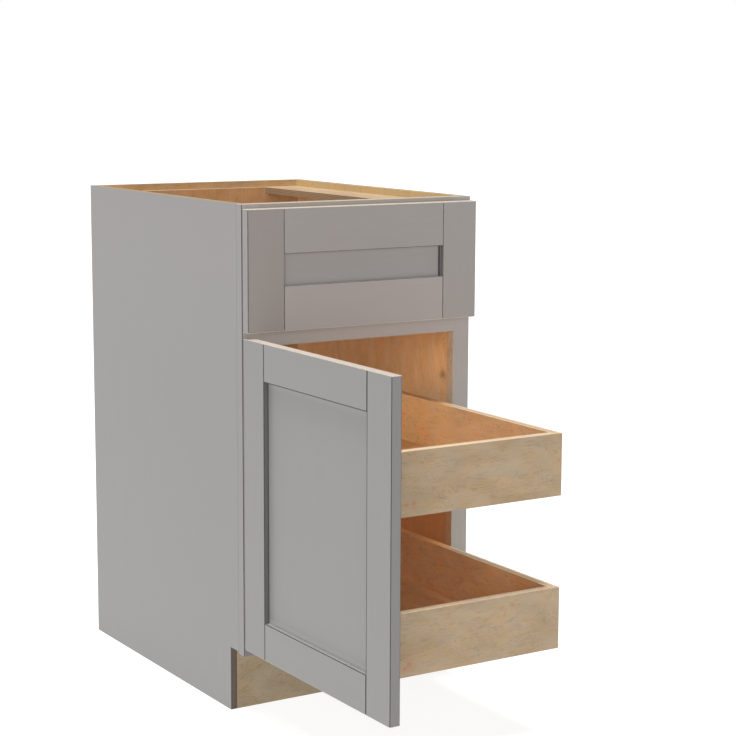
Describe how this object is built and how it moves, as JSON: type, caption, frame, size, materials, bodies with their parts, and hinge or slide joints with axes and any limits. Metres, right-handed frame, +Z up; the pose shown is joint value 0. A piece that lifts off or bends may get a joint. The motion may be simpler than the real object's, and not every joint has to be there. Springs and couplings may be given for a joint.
{
  "type": "kitchen base cabinet",
  "caption": "Framed base cabinet with a top drawer holding a cutlery insert, a left-hinged panelled door and roll-out trays on full-extension runners.",
  "frame": {"origin": "middle of the back face at floor level, where the cabinet meets the wall and the floor", "axes": "+X to the right seen from the front, +Y back to the wall, +Z up; the front faces -Y"},
  "size_m": [0.458, 1.0712, 0.8763],
  "materials": {
    "gray_paint": "satin gray paint",
    "maple": "clear satin maple",
    "steel": "zinc plated",
    "clip_plastic": "moulded",
    "bumper": "soft clear"
  },
  "bodies": {
    "cabinet": {"side_panel_left": "gray_paint", "side_panel_right": "gray_paint", "back_panel": "maple", "bottom_panel": "maple", "toe_board": "maple", "hanging_rails": "maple", "top_braces": "maple", "stile_left": "gray_paint", "stile_right": "gray_paint", "top_rail": "gray_paint", "middle_rail": "gray_paint", "bottom_rail": "gray_paint", "hinge_arms": "steel", "drawer_runner_blocks": "maple", "tray_runner_blocks": "maple", "drawer_runner_fixed": "steel", "upper_runner_fixed": "steel", "lower_runner_fixed": "steel", "mounting_screws": "steel"},
    "door": {"door_hinge_stile": "gray_paint", "door_free_stile": "gray_paint", "door_top_rail": "gray_paint", "door_bottom_rail": "gray_paint", "door_panel": "gray_paint", "hinge_cups": "steel", "door_screws": "steel", "door_bumpers": "bumper"},
    "drawer": {"drawer_front_stile_left": "gray_paint", "drawer_front_stile_right": "gray_paint", "drawer_front_top_rail": "gray_paint", "drawer_front_bottom_rail": "gray_paint", "drawer_front_panel": "gray_paint", "drawer_box_sides": "maple", "drawer_box_front": "maple", "drawer_box_back": "maple", "drawer_box_bottom": "maple", "drawer_front_screws": "steel", "drawer_bumpers": "bumper", "drawer_runner_moving": "steel", "drawer_clips": "clip_plastic", "insert_base": "maple", "insert_rails": "maple", "insert_dividers": "maple"},
    "drawer_runner": {"drawer_runner_middle": "steel"},
    "upper_tray": {"upper_tray_sides": "maple", "upper_tray_front": "maple", "upper_tray_back": "maple", "upper_tray_bottom": "maple", "upper_runner_moving": "steel", "upper_tray_clips": "clip_plastic"},
    "upper_runner": {"upper_runner_middle": "steel"},
    "lower_tray": {"lower_tray_sides": "maple", "lower_tray_front": "maple", "lower_tray_back": "maple", "lower_tray_bottom": "maple", "lower_runner_moving": "steel", "lower_tray_clips": "clip_plastic"},
    "lower_runner": {"lower_runner_middle": "steel"}
  },
  "joints": [
    {"name": "door_hinge", "type": "hinge", "parent": "cabinet", "child": "door", "pos_m": [-0.22137, -0.62205, 0.388], "axis": [0, 0, -1], "range_deg": [-4, 8]},
    {"name": "drawer_slide", "type": "slide", "parent": "cabinet", "child": "drawer", "axis": [0, -1, 0], "range_m": [0, 0.508]},
    {"name": "upper_tray_slide", "type": "slide", "parent": "cabinet", "child": "upper_tray", "axis": [0, -1, 0], "range_m": [-0.348, 0.16]},
    {"name": "lower_tray_slide", "type": "slide", "parent": "cabinet", "child": "lower_tray", "axis": [0, -1, 0], "range_m": [-0.348, 0.16]},
    {"name": "drawer_runner_slide", "type": "slide", "parent": "cabinet", "child": "drawer_runner", "axis": [0, -1, 0], "range_m": [0, 0.254]},
    {"name": "upper_runner_slide", "type": "slide", "parent": "cabinet", "child": "upper_runner", "axis": [0, -1, 0], "range_m": [-0.174, 0.08]},
    {"name": "lower_runner_slide", "type": "slide", "parent": "cabinet", "child": "lower_runner", "axis": [0, -1, 0], "range_m": [-0.174, 0.08]}
  ],
  "couplings": [
    {"joint": "drawer_runner_slide", "follows": "drawer_slide", "ratio": 0.5},
    {"joint": "upper_runner_slide", "follows": "upper_tray_slide", "ratio": 0.5},
    {"joint": "lower_runner_slide", "follows": "lower_tray_slide", "ratio": 0.5}
  ]
}
